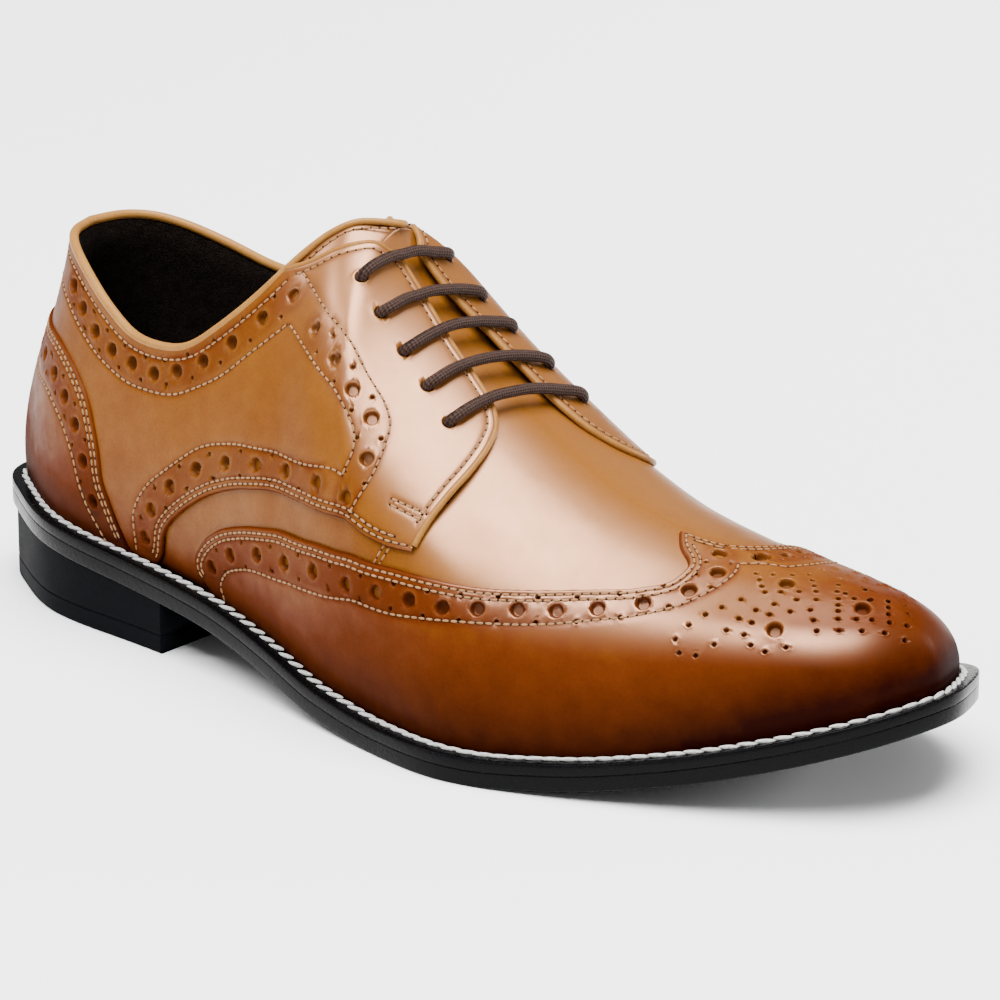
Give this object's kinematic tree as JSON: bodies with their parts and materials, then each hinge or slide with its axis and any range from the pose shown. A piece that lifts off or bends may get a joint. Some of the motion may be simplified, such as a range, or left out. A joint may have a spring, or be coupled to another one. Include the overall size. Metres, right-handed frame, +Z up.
{
  "type": "brogue shoe",
  "caption": "Right open-laced wing-tip brogue dress shoe in tan leather with black welted sole and heel.",
  "frame": {"origin": "middle of the shoe's box on the floor it stands on", "axes": "+X from heel to toe, +Z up, +Y towards the inner (medial) side"},
  "size_m": [0.304, 0.11, 0.1187],
  "materials": {
    "tan_leather": "polished calf leather",
    "burnished_leather": "burnished calf leather",
    "sole_edge": "semi-gloss black edge",
    "welt": "black dyed, waxed",
    "heel_rubber": "matte black",
    "insole": "dark sock lining",
    "lace_cord": "waxed round cord"
  },
  "bodies": {
    "root": {"heel_toplift": "heel_rubber", "heel_stack": "heel_rubber", "outsole": "sole_edge", "welt": "welt", "insole": "insole", "upper": "tan_leather", "wing_cap": "burnished_leather", "counter": "burnished_leather", "quarter_lateral": "tan_leather", "quarter_medial": "tan_leather", "tongue": "tan_leather", "laces": "lace_cord"}
  },
  "joints": []
}
